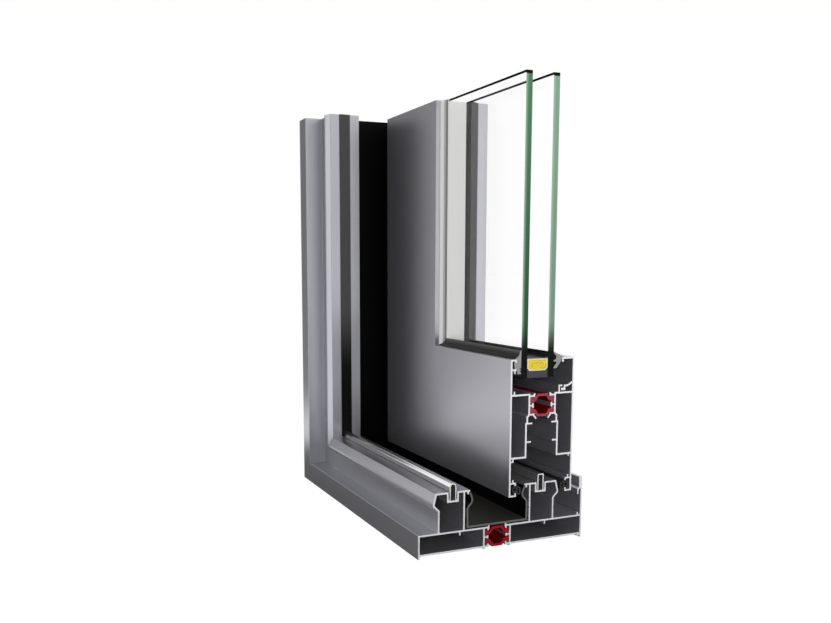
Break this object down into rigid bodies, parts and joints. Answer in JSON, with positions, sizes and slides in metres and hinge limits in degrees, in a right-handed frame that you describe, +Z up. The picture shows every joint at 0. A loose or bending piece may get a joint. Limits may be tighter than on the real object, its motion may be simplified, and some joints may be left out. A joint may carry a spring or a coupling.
{
  "type": "lift and slide door corner section",
  "caption": "Bottom corner of a thermally broken lift and slide door: two-track sill and jamb, with a double-glazed sash on the inner track that lifts and slides.",
  "frame": {"origin": "centre of the base on the plane of the flange tips that the sample stands on", "axes": "+X along the sill away from the jamb, the way the sash slides open; +Y from the outdoor face to the indoor face; +Z up the jamb"},
  "size_m": [0.304, 0.16, 0.396],
  "materials": {
    "coated_aluminium": "satin powder coat, bare saw cuts at the ends",
    "red_polyamide": "matt, glass-fibre reinforced",
    "black_plastic": "satin",
    "grey_plastic": "matt",
    "stainless_steel": "bright brushed",
    "plain_aluminium": "mill finish",
    "rubber_seal": "matt",
    "clear_glass": "float glass with cut edges",
    "spacer_bar": "satin",
    "drying_filling": "matt, packed beads",
    "edge_sealant": "matt",
    "roller_plastic": "satin"
  },
  "bodies": {
    "frame": {"sill_outer_profile": "coated_aluminium", "sill_inner_profile": "coated_aluminium", "sill_upper_insulating_strip": "red_polyamide", "sill_lower_insulating_strip": "red_polyamide", "jamb_outer_profile": "coated_aluminium", "jamb_inner_profile": "coated_aluminium", "jamb_upper_insulating_strip": "red_polyamide", "jamb_lower_insulating_strip": "red_polyamide", "sill_channel_cover": "black_plastic", "jamb_channel_cover": "black_plastic", "outer_rail": "stainless_steel", "inner_rail": "stainless_steel", "jamb_outer_slot_filler": "grey_plastic", "jamb_inner_slot_filler": "grey_plastic", "frame_outer_corner_cleat": "plain_aluminium", "frame_inner_corner_cleat": "plain_aluminium"},
    "carriage": {"carriage_frame": "stainless_steel", "front_roller": "roller_plastic", "rear_roller": "roller_plastic", "roller_axles": "stainless_steel"},
    "sash": {"bottom_rail_outer_profile": "coated_aluminium", "bottom_rail_inner_profile": "coated_aluminium", "bottom_rail_upper_insulating_strip": "red_polyamide", "bottom_rail_lower_insulating_strip": "red_polyamide", "stile_outer_profile": "coated_aluminium", "stile_inner_profile": "coated_aluminium", "stile_upper_insulating_strip": "red_polyamide", "stile_lower_insulating_strip": "red_polyamide", "bottom_rail_glazing_bead": "coated_aluminium", "stile_glazing_bead": "coated_aluminium", "outer_glazing_gasket": "rubber_seal", "inner_glazing_gasket": "rubber_seal", "outer_track_seal": "rubber_seal", "inner_track_seal": "rubber_seal", "outer_pane": "clear_glass", "inner_pane": "clear_glass", "glass_spacer": "spacer_bar", "spacer_filling": "drying_filling", "glass_edge_seal": "edge_sealant", "setting_block": "black_plastic", "sash_outer_corner_cleat": "plain_aluminium", "sash_inner_corner_cleat": "plain_aluminium", "lifting_block": "stainless_steel"}
  },
  "joints": [
    {"name": "sash_slide", "type": "slide", "parent": "frame", "child": "carriage", "axis": [1, 0, 0], "range_m": [0, 0.095]},
    {"name": "sash_lift", "type": "slide", "parent": "carriage", "child": "sash", "axis": [0, 0, 1], "range_m": [0, 0.007]}
  ]
}
